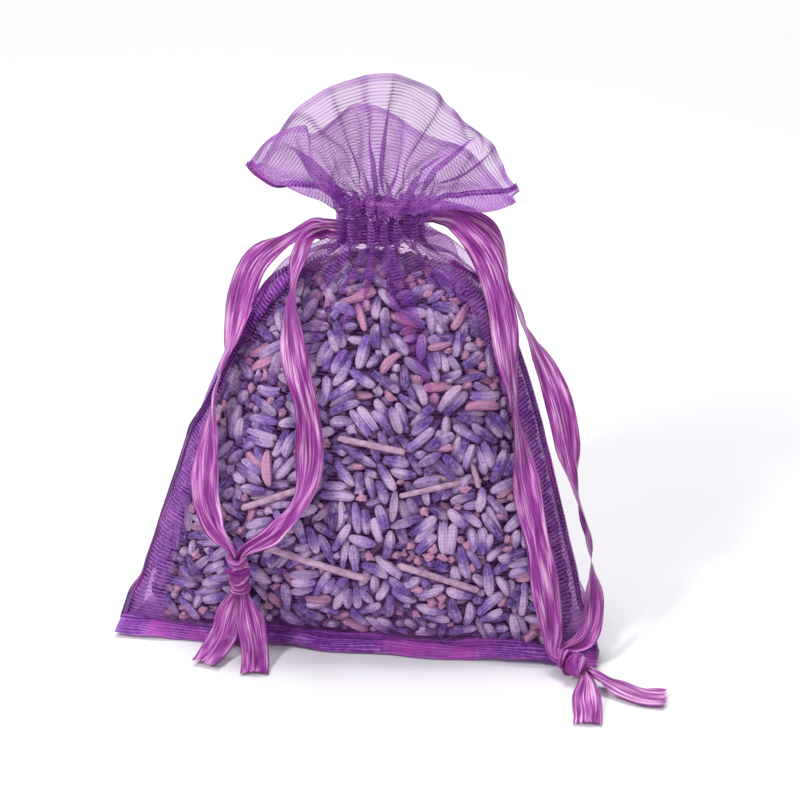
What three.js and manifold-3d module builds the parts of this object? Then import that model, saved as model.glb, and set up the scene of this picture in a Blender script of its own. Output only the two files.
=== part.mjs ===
// Organza drawstring sachet filled with dried lavender. It sits on its flattened base and leans back.
// Millimetres, +Z up, the front faces -Y, and the origin lies on the flat base.
import * as THREE from 'three';
import { mergeVertices } from 'three/addons/utils/BufferGeometryUtils.js';
import ManifoldModule from 'manifold-3d';

const wasm = await ManifoldModule();
wasm.setup();

// Cloth bag
const bagWidth = 76; // between the two side seams at the bottom corners
const clothWall = 0.6; // doubled, crinkled organza
const clearance = 0.3; // between pieces that touch
const neckHeight = 58; // floor to the lower edge of the drawstring casing
const frontEdgeY = -17; // line of the bottom seam
const baseDepth = 30; // flat base from the bottom seam to the heel
const bodyDepth = 41; // bottom seam to the furthest point of the back
const frontBulge = 13; // belly of the front, measured from the seams
const neckY = 9; // middle of the gathered neck
const frontBelly = 0.42; // height of the front's fullest point, as a share of the neck height
const backBelly = 0.3; // the same for the back
const taper = 0.54; // how much the width draws in on the way up
const shoulder = 6; // exponent of the rounding under the neck
const frontRound = 4; // the same for the front, from its belly up
const backRound = 2; // the same for the back
const seamPoint = 0.12; // how pointed the sections are at the seams
const baseBackY = frontEdgeY + baseDepth;
const backY = frontEdgeY + bodyDepth;

// Neck, from the inside out
const coreRadius = 4.6; // open middle of the gathered mouth
const bandWall = 0.7; // turned-in hem
const ribbonWall = 0.7; // ribbon where it lies in the casing
const casingHeight = 6.4;
const mouthHalf = 1.55; // half width of the slit that lets a drawstring out
const pleatDepth = 1.3; // gathers standing out of the neck
const pleats = 7; // in each panel
const pleatRise = 11; // how far the gathers run up into the ruffle
const frontPleatFall = 11; // how far they run down over the front
const backPleatFall = 20; // the same for the slacker back
const bandInner = coreRadius;
const bandOuter = bandInner + bandWall;
const ringInner = bandOuter + clearance;
const ringOuter = ringInner + ribbonWall;
const neckRadius = ringOuter + clearance + clothWall;

// Ruffle above the casing
const ruffleHeight = 14;
const ruffleSpread = 4.8; // how far its mean radius grows
const ruffleWiden = 4.2; // further spread towards the side seams, where the two panels meet
const sideDrop = 4.2; // top edge hangs lower at the side seams
const ruffleWave = 1.8; // depth of the folds at the top edge
const ruffleFolds = 5; // all the way round
const ruffleLean = 1.6; // top edge set back from the neck
const petalDrop = 0.8; // top edge hangs lower on the outward folds

// Seams
const seamRadius = 0.6; // rolled side seam
const flangeWidth = 4.6; // bottom seam lying flat in front
const flangeThickness = 0.9;

// Drawstrings
const ribbonWidth = 4.4;
const ribbonThickness = 0.9;
const bunchedWidth = 2.4; // ribbon drawn together inside the casing
const leadOffset = 0.75; // each strand's lead from the middle of the mouth
const pullLength = 9; // how far a drawstring pulls out
const leftLevel = 1.6; // height of the left drawstring in the casing
const rightLevel = 4.8;
const knotLength = 6.4;
const knotRadius = 2.5;
const knotWrap = 0.95; // radius of the turns round the knot

// Fill
const fillInset = 1.35; // bed of buds inside the cloth's outer face
const earWidth = 2; // empty doubled cloth beside the fill
const fillTop = 0.97; // top of the bed, as a share of the neck height
const stemRadius = 0.65;
const stemLength = 11;

const bodyRows = 15;
const baseRows = 4;
const casingRows = 2;
const ruffleRows = 7;
const panelColumns = 28;

const organza = new THREE.MeshStandardMaterial({ name: 'organza', color: 0x6a2a8c, roughness: 0.6 });
const seamCloth = new THREE.MeshStandardMaterial({ name: 'seam_cloth', color: 0x4a1a70, roughness: 0.7 });
const satin = new THREE.MeshStandardMaterial({ name: 'satin_ribbon', color: 0x9a3a94, roughness: 0.4 });
const lavender = new THREE.MeshStandardMaterial({ name: 'dried_lavender', color: 0x8a74a8, roughness: 0.9 });
const stalk = new THREE.MeshStandardMaterial({ name: 'dried_stem', color: 0xb8a592, roughness: 0.9 });

function vec(x, y, z) {
  return new THREE.Vector3(x, y, z);
}

function roundDown(share, exponent) {
  return Math.sqrt(Math.max(0, 1 - share ** exponent));
}

// Half width of the bag between its side seams. `h` is the height as a share of the neck height.
function seamX(h) {
  return neckRadius + (bagWidth / 2 - neckRadius) * (1 - taper * h) * roundDown(h, shoulder);
}

function seamY(h) {
  return frontEdgeY + (neckY - frontEdgeY) * h;
}

function frontDepth(h) {
  if (h < frontBelly) {
    return frontBulge * Math.sin((Math.PI / 2) * (h / frontBelly)) ** 0.8;
  }
  return neckRadius + (frontBulge - neckRadius) * roundDown((h - frontBelly) / (1 - frontBelly), frontRound);
}

function backDepth(h) {
  const neckBack = neckY + neckRadius;
  if (h < backBelly) {
    const round = Math.sqrt(1 - (1 - h / backBelly) ** 2);
    return baseBackY + (backY - baseBackY) * round - seamY(h);
  }
  const fall = roundDown((h - backBelly) / (1 - backBelly), backRound);
  return neckBack + (backY - neckBack) * fall - seamY(h);
}

// Sections are a little pointed at the seams low down and turn round towards the neck.
function sectionPower(h) {
  return 1 + seamPoint * (1 - THREE.MathUtils.smoothstep(h, 0.75, 1));
}

// Points of the two panels. `turn` runs from the right seam (0) to the left seam (pi).
function frontPoint(h, turn) {
  const depth = frontDepth(h) * Math.sin(turn) ** sectionPower(h);
  return vec(seamX(h) * Math.cos(turn), seamY(h) - depth, h * neckHeight);
}

function backPoint(h, turn) {
  const depth = backDepth(h) * Math.sin(turn) ** sectionPower(h);
  return vec(seamX(h) * Math.cos(turn), seamY(h) + depth, h * neckHeight);
}

function basePoint(share, turn) {
  const depth = share * (baseBackY - frontEdgeY) * Math.sin(turn) ** sectionPower(0);
  return vec(seamX(0) * Math.cos(turn), frontEdgeY + depth, 0);
}

// Neck and ruffle. `side` is -1 for the front panel and 1 for the back panel.
function neckPoint(rise, turn, side) {
  return vec(neckRadius * Math.cos(turn), neckY + side * neckRadius * Math.sin(turn), neckHeight + rise);
}

function rufflePoint(share, turn, side) {
  const round = side * turn;
  const fold = Math.cos(ruffleFolds * round + 0.9) + 0.3 * Math.cos(3 * round - 0.6);
  const aside = Math.cos(2 * round) * share ** 1.4;
  const radius = neckRadius + ruffleSpread * share + ruffleWiden * aside + ruffleWave * share * fold;
  const drop = sideDrop * aside + petalDrop * share ** 2 * fold;
  const z = neckHeight + casingHeight + ruffleHeight * share - drop;
  const y = neckY + ruffleLean * share ** 1.4 + side * radius * Math.sin(turn);
  return vec(radius * Math.cos(turn), y, z);
}

// First turn at which a panel stays clear of the rolled seam at its tip.
function edgeTurn(pointAt, margin = 0.15) {
  const tip = pointAt(0);
  const reach = seamRadius + clearance + margin;
  let turn = 0.02;
  while (pointAt(turn).distanceTo(tip) < reach) {
    turn += 0.01;
  }
  return turn;
}

function panelRow(pointAt, firstTurn) {
  const row = [];
  for (let i = 0; i <= panelColumns; i++) {
    const turn = firstTurn + ((Math.PI - 2 * firstTurn) * i) / panelColumns;
    row.push(pointAt(turn));
  }
  return row;
}

// Rows of one panel from the bottom seam to the top edge of the ruffle.
function panelRows(side) {
  const bodyPoint = side < 0 ? frontPoint : backPoint;
  const mouthTurn = Math.asin((mouthHalf + 0.1) / (neckRadius - clothWall));
  const bottom = (flangeThickness + clearance) / neckHeight;
  const rows = [];
  if (side > 0) {
    for (let i = 0; i <= baseRows; i++) {
      const share = 0.02 + (0.98 * i) / baseRows;
      rows.push(panelRow((turn) => basePoint(share, turn), edgeTurn((turn) => basePoint(1, turn))));
    }
  }
  for (let i = side < 0 ? 0 : 1; i <= bodyRows; i++) {
    const start = side < 0 ? bottom : 0;
    const t = i / bodyRows;
    const h = start + (1 - start) * (0.5 * t + 0.25 - 0.25 * Math.cos(Math.PI * t));
    const pointAt = (turn) => bodyPoint(h, turn);
    const open = THREE.MathUtils.smoothstep(h, 0.93, 1);
    rows.push(panelRow(pointAt, THREE.MathUtils.lerp(edgeTurn(pointAt), mouthTurn, open)));
  }
  for (let i = 1; i <= casingRows; i++) {
    const rise = (casingHeight * i) / casingRows;
    rows.push(panelRow((turn) => neckPoint(rise, turn, side), mouthTurn));
  }
  for (let i = 1; i <= ruffleRows; i++) {
    const share = i / ruffleRows;
    const pointAt = (turn) => rufflePoint(share, turn, side);
    rows.push(panelRow(pointAt, edgeTurn(pointAt, 0.3)));
  }
  return rows;
}

// Outward direction of a grid of points at one of them.
function gridNormal(rows, i, j, flip) {
  const up = rows[Math.min(i + 1, rows.length - 1)][j].clone().sub(rows[Math.max(i - 1, 0)][j]);
  const last = rows[i].length - 1;
  const across = rows[i][Math.min(j + 1, last)].clone().sub(rows[i][Math.max(j - 1, 0)]);
  return across.cross(up).normalize().multiplyScalar(flip);
}

// Closed solid between two grids of points with the same rows and columns.
function solidBetween(outer, inner) {
  const rows = outer.length;
  const columns = outer[0].length;
  const points = [...outer.flat(), ...inner.flat()];
  const index = [];
  const outerAt = (i, j) => i * columns + j;
  const innerAt = (i, j) => rows * columns + i * columns + j;
  const quad = (a, b, c, d) => index.push(a, b, c, a, c, d);
  for (let i = 0; i + 1 < rows; i++) {
    for (let j = 0; j + 1 < columns; j++) {
      quad(outerAt(i, j), outerAt(i, j + 1), outerAt(i + 1, j + 1), outerAt(i + 1, j));
      quad(innerAt(i, j), innerAt(i + 1, j), innerAt(i + 1, j + 1), innerAt(i, j + 1));
    }
    quad(outerAt(i, 0), outerAt(i + 1, 0), innerAt(i + 1, 0), innerAt(i, 0));
    const last = columns - 1;
    quad(outerAt(i + 1, last), outerAt(i, last), innerAt(i, last), innerAt(i + 1, last));
  }
  for (let j = 0; j + 1 < columns; j++) {
    quad(outerAt(0, j + 1), outerAt(0, j), innerAt(0, j), innerAt(0, j + 1));
    const top = rows - 1;
    quad(outerAt(top, j), outerAt(top, j + 1), innerAt(top, j + 1), innerAt(top, j));
  }
  return facingOut(geometryFrom(points, index));
}

function geometryFrom(points, index) {
  const geometry = new THREE.BufferGeometry();
  geometry.setAttribute('position', new THREE.Float32BufferAttribute(points.flatMap((p) => p.toArray()), 3));
  geometry.setIndex(index);
  return geometry;
}

// Turns a closed surface the right way out by the sign of its volume.
function facingOut(geometry) {
  const position = geometry.getAttribute('position');
  const index = geometry.getIndex().array;
  const corner = (i) => new THREE.Vector3().fromBufferAttribute(position, index[i]);
  let volume = 0;
  for (let i = 0; i < index.length; i += 3) {
    volume += corner(i).dot(corner(i + 1).cross(corner(i + 2)));
  }
  if (volume < 0) {
    for (let i = 0; i < index.length; i += 3) {
      [index[i + 1], index[i + 2]] = [index[i + 2], index[i + 1]];
    }
  }
  return geometry;
}

// Cloth panel with its gathers: the outer face carries the pleats, the inner face stays smooth.
function panel(side) {
  const outline = panelRows(side);
  const flip = side < 0 ? -1 : 1;
  const pleatFall = side < 0 ? frontPleatFall : backPleatFall;
  const inner = outline.map((row, i) => row.map((point, j) => {
    const inward = gridNormal(outline, i, j, flip);
    if (point.z === 0) {
      inward.set(0, 0, -1);
    }
    return point.clone().addScaledVector(inward, -clothWall);
  }));
  const outer = outline.map((row, i) => row.map((point, j) => {
    const rise = point.z - neckHeight;
    const middle = rise - casingHeight / 2;
    const gather = Math.exp(-((middle / (middle < 0 ? pleatFall : pleatRise)) ** 2));
    const pleat = 0.5 - 0.5 * Math.cos((2 * Math.PI * pleats * j) / panelColumns);
    return point.clone().addScaledVector(gridNormal(outline, i, j, flip), pleatDepth * gather * pleat);
  }));
  return solidBetween(outer, inner);
}

// Rolled seam along a list of points.
function rolledSeam(points) {
  const circle = new THREE.Shape().absarc(0, 0, seamRadius, 0, 2 * Math.PI);
  const path = new THREE.CatmullRomCurve3(points);
  return new THREE.ExtrudeGeometry(circle, { steps: points.length - 1, curveSegments: 4, extrudePath: path });
}

function sideSeam(direction) {
  const start = (flangeThickness + clearance + seamRadius) / neckHeight;
  const end = (neckHeight - 2 * seamRadius) / neckHeight;
  const points = [];
  for (let i = 0; i <= 20; i++) {
    const h = start + (end - start) * (1 - (1 - i / 20) ** 1.5);
    points.push(vec(direction * seamX(h), seamY(h), h * neckHeight));
  }
  return rolledSeam(points);
}

function headerSeam(direction) {
  const turn = direction > 0 ? 0 : Math.PI;
  const points = [];
  for (let i = 0; i <= 8; i++) {
    points.push(rufflePoint(0.12 + (0.88 * i) / 8, turn, 1));
  }
  return rolledSeam(points);
}

// Doubled lower edge lying flat on the table, with a slightly bowed front.
function bottomSeam() {
  const half = seamX(0) + seamRadius;
  const back = frontEdgeY - clearance;
  const outline = new THREE.Shape();
  outline.moveTo(-half, back);
  outline.lineTo(half, back);
  outline.lineTo(half, back - flangeWidth / 2);
  outline.quadraticCurveTo(0, back - 1.5 * flangeWidth, -half, back - flangeWidth / 2);
  outline.closePath();
  return new THREE.ExtrudeGeometry(outline, { depth: flangeThickness, bevelEnabled: false, curveSegments: 20 });
}

// Upright band between two radii round the neck, over part of a turn.
function neckBand(inner, outer, firstTurn, lastTurn, bottom, height) {
  const outline = new THREE.Shape();
  outline.absarc(0, 0, outer, firstTurn, lastTurn, false);
  outline.absarc(0, 0, inner, lastTurn, firstTurn, true);
  const band = new THREE.ExtrudeGeometry(outline, { depth: height, bevelEnabled: false, curveSegments: 16 });
  return band.translate(0, neckY, neckHeight + bottom);
}

function casingBand(firstTurn) {
  const gap = Math.asin((mouthHalf + 0.1) / bandInner);
  return neckBand(bandInner, bandOuter, firstTurn + gap, firstTurn + Math.PI - gap, 0, casingHeight);
}

// The drawstring's stretch inside the casing, open at its own mouth.
function casingRibbon(mouthTurn, level) {
  const gap = Math.asin((mouthHalf + 0.1) / ringInner);
  const first = mouthTurn + gap;
  const last = mouthTurn + 2 * Math.PI - gap;
  return neckBand(ringInner, ringOuter, first, last, level - bunchedWidth / 2, bunchedWidth);
}

// Rounded flat section of a ribbon.
function ribbonSection(width, thickness) {
  const w = width / 2;
  const t = thickness / 2;
  return [[w, 0], [0.8 * w, t], [0, 0.9 * t], [-0.8 * w, t], [-w, 0], [-0.8 * w, -t], [0, -0.9 * t], [0.8 * w, -t]];
}

// Flat ribbon along a route. Each stop of the route gives a point, the way its flat side faces and its width.
function ribbon(route) {
  const steps = 3 * (route.length - 1);
  const path = new THREE.CatmullRomCurve3(route.map((stop) => vec(...stop.at)), false, 'centripetal');
  const faces = new THREE.CatmullRomCurve3(route.map((stop) => vec(...stop.facing)));
  const widths = new THREE.SplineCurve(route.map((stop, i) => new THREE.Vector2(i, stop.width ?? ribbonWidth)));
  const rings = [];
  for (let i = 0; i <= steps; i++) {
    const share = i / steps;
    const middle = path.getPoint(share);
    const along = path.getTangent(share);
    const side = along.clone().cross(faces.getPoint(share)).normalize();
    const out = side.clone().cross(along).normalize();
    const section = ribbonSection(widths.getPoint(share).y, ribbonThickness);
    rings.push(section.map(([a, b]) => middle.clone().addScaledVector(side, a).addScaledVector(out, b)));
  }
  return cappedRings(rings);
}

// Closed solid through a row of rings, with a flat cap at each end.
function cappedRings(rings) {
  const count = rings[0].length;
  const points = rings.flat();
  const index = [];
  for (let i = 0; i + 1 < rings.length; i++) {
    for (let j = 0; j < count; j++) {
      const a = i * count + j;
      const b = i * count + ((j + 1) % count);
      index.push(a, b, b + count, a, b + count, a + count);
    }
  }
  const end = (rings.length - 1) * count;
  for (let j = 1; j + 1 < count; j++) {
    index.push(0, j + 1, j);
    index.push(end, end + j, end + j + 1);
  }
  return facingOut(geometryFrom(points, index));
}

function toManifold(geometry) {
  const clean = new THREE.BufferGeometry();
  clean.setAttribute('position', geometry.getAttribute('position').clone());
  clean.setIndex(geometry.getIndex());
  const welded = mergeVertices(clean, 1e-4);
  const mesh = new wasm.Mesh({
    numProp: 3,
    vertProperties: new Float32Array(welded.getAttribute('position').array),
    triVerts: new Uint32Array(welded.getIndex().array),
  });
  mesh.merge();
  return new wasm.Manifold(mesh);
}

function fromManifold(solid) {
  const mesh = solid.getMesh();
  const geometry = new THREE.BufferGeometry();
  geometry.setAttribute('position', new THREE.BufferAttribute(mesh.vertProperties, 3));
  geometry.setIndex(new THREE.BufferAttribute(mesh.triVerts, 1));
  return geometry;
}

function pointAlong(geometry, direction, at) {
  const turn = new THREE.Quaternion().setFromUnitVectors(vec(0, 1, 0), vec(...direction).normalize());
  return geometry.applyQuaternion(turn).translate(...at);
}

// Overhand knot drawn tight: a core with three turns of ribbon round it, the middle one crossing the others.
function knot(at, direction) {
  let solid = toManifold(new THREE.SphereGeometry(knotRadius, 12, 8).scale(0.9, knotLength / 2 / knotRadius, 0.9));
  for (const [offset, tilt] of [[-1.5, -0.12], [0, 0.34], [1.5, -0.12]]) {
    const turn = new THREE.TorusGeometry(knotRadius - knotWrap, knotWrap, 6, 14);
    turn.rotateX(Math.PI / 2 + tilt).translate(0, offset, 0);
    solid = solid.add(toManifold(turn));
  }
  return pointAlong(fromManifold(solid), direction, at);
}

// Bed of buds: the bag's own sections drawn in from the cloth and rounded at the ears and on top.
function fillPoint(share, turn) {
  const floor = clothWall + clearance;
  const z = floor + (fillTop * neckHeight - floor) * share;
  const h = z / neckHeight;
  const dome = Math.sqrt(Math.max(0, 1 - Math.max(0, (share - 0.9) / 0.1) ** 2));
  const heel = 1 - 0.12 * Math.max(0, 1 - share / 0.1) ** 2;
  const front = Math.sin(turn) >= 0;
  const depth = ((front ? frontDepth(h) : backDepth(h)) - fillInset) * dome * heel;
  const across = (seamX(h) - earWidth) * dome * heel;
  const swell = Math.abs(Math.sin(turn)) ** sectionPower(h);
  return vec(across * Math.cos(turn), seamY(h) + (front ? -1 : 1) * Math.max(depth, -fillInset) * swell, z);
}

function fillBody() {
  const rings = [];
  for (let i = 0; i <= 15; i++) {
    const share = 0.985 * (1 - (1 - i / 15) ** 1.3);
    const ring = [];
    for (let j = 0; j < 32; j++) {
      ring.push(fillPoint(share, (2 * Math.PI * j) / 32));
    }
    rings.push(ring);
  }
  return cappedRings(rings);
}

// Stems lie in the face of the bed: height share, place round it, lean, and cut as a share of the stem length.
const stems = [
  { share: 0.22, turn: 1.15, lean: 0.35, cut: 1.15 },
  { share: 0.42, turn: 2.05, lean: -0.5, cut: 1 },
  { share: 0.58, turn: 1.5, lean: 0.15, cut: 0.9 },
  { share: 0.3, turn: 4.4, lean: 0.6, cut: 1 },
];

function stem(spot, radius, extra) {
  const at = fillPoint(spot.share, spot.turn);
  const across = fillPoint(spot.share, spot.turn + 0.05).sub(at).normalize();
  const up = fillPoint(spot.share + 0.03, spot.turn).sub(at).normalize();
  const along = across.clone().addScaledVector(up, spot.lean).normalize();
  const inward = across.clone().cross(up).normalize().multiplyScalar(1.2 * stemRadius);
  const rod = new THREE.CylinderGeometry(radius, radius, stemLength * spot.cut + extra, 8);
  return pointAlong(rod, along.toArray(), at.clone().add(inward).toArray());
}

function lavenderFill() {
  let bed = toManifold(fillBody());
  for (const spot of stems) {
    bed = bed.subtract(toManifold(stem(spot, stemRadius + clearance, 2 * clearance)));
  }
  return fromManifold(bed);
}

// Straight lead of a strand inside its mouth, long enough to stay in the casing when it is pulled out.
function leadStops(direction, offset, level) {
  const innerEnd = direction * (neckRadius - pullLength - 0.5);
  const places = [innerEnd, direction * 3, direction * neckRadius, direction * (neckRadius + 1.8)];
  return places.map((x) => ({
    at: [x, neckY + offset, neckHeight + level],
    facing: [0, -1, 0],
    width: bunchedWidth,
  }));
}

// Free stretches. Each stop: point, the way the flat side faces, and the width where it is drawn together.
const leftFrontStops = [
  { at: [-11.5, 3.9, 59], facing: [-0.3, -0.75, 0.6], width: 3 },
  { at: [-11.8, -4.5, 53.6], facing: [-0.33, -0.74, 0.58] },
  { at: [-10.4, -9.9, 44.8], facing: [-0.26, -0.78, 0.57] },
  { at: [-7.6, -14.6, 36.2], facing: [-0.15, -0.84, 0.52] },
  { at: [-7.9, -18.7, 27.1], facing: [-0.16, -0.88, 0.43] },
  { at: [-11.9, -20.9, 20.6], facing: [-0.22, -0.92, 0.3], width: 3.6 },
  { at: [-16.8, -22.6, 17.6], facing: [-0.25, -0.95, 0.15], width: 1.5 },
];

const leftBackStops = [
  { at: [-12.4, 9.8, 59], facing: [-0.4, -0.6, 0.7], width: 3 },
  { at: [-19, 4.6, 54.1], facing: [-0.62, -0.52, 0.58] },
  { at: [-21.5, -4.2, 44.2], facing: [-0.48, -0.68, 0.55] },
  { at: [-23.9, -9.1, 35.2], facing: [-0.52, -0.7, 0.5] },
  { at: [-24, -14.8, 25.6], facing: [-0.45, -0.78, 0.42] },
  { at: [-22, -19, 19.9], facing: [-0.4, -0.86, 0.3], width: 3.6 },
  { at: [-19, -22.4, 17.6], facing: [-0.28, -0.94, 0.15], width: 1.5 },
];

const leftFrontTailStops = [
  { at: [-16.6, -23.8, 10], facing: [-0.1, -0.98, 0.1], width: 1.5 },
  { at: [-15.9, -24.2, 6.4], facing: [0, -0.98, 0.2] },
  { at: [-15.2, -25, 2.8], facing: [0, -0.8, 0.6] },
  { at: [-14.6, -27.6, 0.9], facing: [0, -0.3, 0.95] },
  { at: [-14.2, -30.8, 0.6], facing: [0, 0, 1] },
];

const leftBackTailStops = [
  { at: [-18.4, -22.9, 10], facing: [-0.1, -0.98, 0.1], width: 1.5 },
  { at: [-19.4, -22.6, 6.6], facing: [-0.1, -0.98, 0.2] },
  { at: [-20.3, -23.4, 3.2], facing: [-0.1, -0.8, 0.6] },
  { at: [-21.6, -25.8, 1.1], facing: [-0.1, -0.3, 0.95] },
  { at: [-22.6, -29.2, 0.6], facing: [0, 0, 1] },
];

const rightFrontStops = [
  { at: [12.6, 7.6, 62.2], facing: [0.25, -0.9, 0.35], width: 3.4 },
  { at: [17, 5, 57.6], facing: [0.45, -0.7, 0.55] },
  { at: [20.4, 0, 49.2], facing: [0.52, -0.62, 0.58] },
  { at: [22.8, -6.3, 39.5], facing: [0.5, -0.68, 0.54] },
  { at: [25.2, -11.4, 29.4], facing: [0.48, -0.75, 0.46] },
  { at: [27.8, -15.6, 18.9], facing: [0.45, -0.83, 0.33] },
  { at: [30.2, -17.8, 9.9], facing: [0.35, -0.92, 0.2] },
  { at: [31.2, -20.1, 5.4], facing: [0.3, -0.7, 0.6], width: 3.4 },
  { at: [31.9, -22.6, 2.8], facing: [0.1, -0.3, 0.95], width: 1.5 },
];

const rightBackStops = [
  { at: [13.2, 10, 62.4], facing: [0.3, -0.85, 0.4], width: 3.4 },
  { at: [17.9, 9.6, 58.4], facing: [0.5, -0.5, 0.7] },
  { at: [21.4, 4.9, 50.6], facing: [0.75, -0.4, 0.5] },
  { at: [27.2, 1.1, 40.3], facing: [0.85, -0.35, 0.4] },
  { at: [31.4, -4.2, 28.4], facing: [0.85, -0.35, 0.4] },
  { at: [34.8, -9.2, 17.3], facing: [0.85, -0.4, 0.35] },
  { at: [36.9, -14.4, 8.8], facing: [0.75, -0.55, 0.35] },
  { at: [36.4, -19, 4.4], facing: [0.4, -0.55, 0.7], width: 3.4 },
  { at: [33.1, -20.9, 2.8], facing: [0.1, -0.3, 0.95], width: 1.5 },
];

const rightFrontTailStops = [
  { at: [37.3, -27.8, 2.4], facing: [0, 0, 1], width: 1.5 },
  { at: [37.8, -31.6, 1.1], facing: [0, 0, 1] },
  { at: [38.4, -35.5, 0.6], facing: [0, 0, 1] },
  { at: [38.6, -39, 0.6], facing: [0, 0, 1] },
];

const rightBackTailStops = [
  { at: [38.7, -26.4, 2.4], facing: [0, 0, 1], width: 1.5 },
  { at: [42.4, -27.5, 1.1], facing: [0, 0, 1] },
  { at: [46.5, -29.4, 0.6], facing: [0, 0, 1] },
  { at: [50.5, -29.6, 0.6], facing: [0, 0, 1] },
];

const leftKnot = { at: [-17.7, -22.9, 13.8], along: [0.05, -0.12, -0.99] };
const rightKnot = { at: [35.5, -24.5, 2.8], along: [0.7, -0.71, 0] };

function strand(direction, offset, level, stops) {
  return ribbon([...leadStops(direction, offset, level), ...stops]);
}

const sachet = new THREE.Group();
sachet.name = 'lavender_sachet';

function place(name, geometry, material) {
  const mesh = new THREE.Mesh(geometry, material);
  mesh.name = name;
  sachet.add(mesh);
}

place('front_panel', panel(-1), organza);
place('back_panel', panel(1), organza);
place('bottom_seam', bottomSeam(), seamCloth);
place('left_side_seam', sideSeam(-1), seamCloth);
place('right_side_seam', sideSeam(1), seamCloth);
place('left_header_seam', headerSeam(-1), seamCloth);
place('right_header_seam', headerSeam(1), seamCloth);
place('front_casing', casingBand(Math.PI), seamCloth);
place('back_casing', casingBand(0), seamCloth);
place('left_casing_ribbon', casingRibbon(Math.PI, leftLevel), satin);
place('right_casing_ribbon', casingRibbon(0, rightLevel), satin);
place('left_front_strand', strand(-1, -leadOffset, leftLevel, leftFrontStops), satin);
place('left_back_strand', strand(-1, leadOffset, leftLevel, leftBackStops), satin);
place('left_knot', knot(leftKnot.at, leftKnot.along), satin);
place('left_front_tail', ribbon(leftFrontTailStops), satin);
place('left_back_tail', ribbon(leftBackTailStops), satin);
place('right_front_strand', strand(1, -leadOffset, rightLevel, rightFrontStops), satin);
place('right_back_strand', strand(1, leadOffset, rightLevel, rightBackStops), satin);
place('right_knot', knot(rightKnot.at, rightKnot.along), satin);
place('right_front_tail', ribbon(rightFrontTailStops), satin);
place('right_back_tail', ribbon(rightBackTailStops), satin);
place('lavender_fill', lavenderFill(), lavender);
stems.forEach((spot, i) => place(`stem_${i + 1}`, stem(spot, stemRadius, 0), stalk));

export default sachet;
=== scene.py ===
import bmesh
import bpy
import math
import numpy as np
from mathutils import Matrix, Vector, noise
from mathutils.bvhtree import BVHTree


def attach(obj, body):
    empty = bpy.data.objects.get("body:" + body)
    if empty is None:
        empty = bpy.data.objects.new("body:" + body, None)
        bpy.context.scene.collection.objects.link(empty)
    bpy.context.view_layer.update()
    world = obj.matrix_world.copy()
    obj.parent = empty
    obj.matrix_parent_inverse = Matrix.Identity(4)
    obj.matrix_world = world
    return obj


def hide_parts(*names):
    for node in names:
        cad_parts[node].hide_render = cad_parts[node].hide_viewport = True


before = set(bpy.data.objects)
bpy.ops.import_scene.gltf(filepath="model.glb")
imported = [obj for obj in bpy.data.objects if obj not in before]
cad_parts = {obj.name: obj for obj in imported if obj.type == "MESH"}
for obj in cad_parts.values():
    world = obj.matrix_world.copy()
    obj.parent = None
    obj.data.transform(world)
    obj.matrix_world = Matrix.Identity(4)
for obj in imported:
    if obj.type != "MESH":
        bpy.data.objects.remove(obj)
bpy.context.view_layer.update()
scene = bpy.context.scene
rng = np.random.default_rng(23)
mm = 0.001
print("frame loaded:", len(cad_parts), "nodes")


# shader sockets that can be added and multiplied
class Wire:
    def __init__(self, tree, socket):
        self.tree = tree
        self.socket = socket

    def math(self, operation, *others):
        return addNode(self.tree, "Math", {"operation": operation}, dict(enumerate((self, *others))))

    def __add__(self, other):
        return self.math("ADD", other)

    def __radd__(self, other):
        return self.math("ADD", other)

    def __sub__(self, other):
        return self.math("SUBTRACT", other)

    def __rsub__(self, other):
        return addNode(self.tree, "Math", {"operation": "SUBTRACT"}, {0: other, 1: self})

    def __mul__(self, other):
        return self.math("MULTIPLY", other)

    def __rmul__(self, other):
        return self.math("MULTIPLY", other)

    def __truediv__(self, other):
        return self.math("DIVIDE", other)

    def __pow__(self, other):
        return self.math("POWER", other)

    def also(self, out):  # another output of the same node
        return Wire(self.tree, self.socket.node.outputs[out])


def addNode(tree, kind, settings=None, sockets=None, out=0):
    node = tree.nodes.new("ShaderNode" + kind)
    for key, value in (settings or {}).items():
        if key == "stops":
            ramp = node.color_ramp.elements
            while len(ramp) < len(value):
                ramp.new(0.5)
            for element, (place, colour) in zip(ramp, value):
                element.position = place
                element.color = (*colour, 1)
        else:
            setattr(node, key, value)
    for key, value in (sockets or {}).items():
        if isinstance(value, Wire):
            tree.links.new(value.socket, node.inputs[key])
        else:
            node.inputs[key].default_value = value
    return Wire(tree, node.outputs[out]) if node.outputs else None


def newMaterial(name, **sockets):
    material = bpy.data.materials.new(name)
    material.use_nodes = True
    tree = material.node_tree
    shader = tree.nodes["Principled BSDF"]
    for key, value in sockets.items():
        shader.inputs[key.replace("_", " ")].default_value = value
    return material, tree, shader


def plug(tree, shader, key, wire):
    tree.links.new(wire.socket, shader.inputs[key])


def parts(wire, kind="SeparateXYZ"):  # the three numbers in a vector or colour
    first = addNode(wire.tree, kind, {}, {0: wire})
    return first, first.also(1), first.also(2)


def clamped(wire):
    return wire.math("MINIMUM", 1.0).math("MAXIMUM", 0.0)


def mixColour(tree, factor, first, second):
    sockets = {0: factor, 6: first, 7: second}
    return addNode(tree, "Mix", {"data_type": "RGBA"}, sockets, out=2)


def objectPlace(tree):
    return addNode(tree, "TexCoord", out=3)


def noiseAt(tree, place, scale, detail, **more):
    return addNode(tree, "TexNoise", {}, {"Vector": place, "Scale": scale, "Detail": detail, **more})


def attribute(tree, name):  # a number kept on the vertices
    return addNode(tree, "Attribute", {"attribute_name": name}, out=2)


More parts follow.
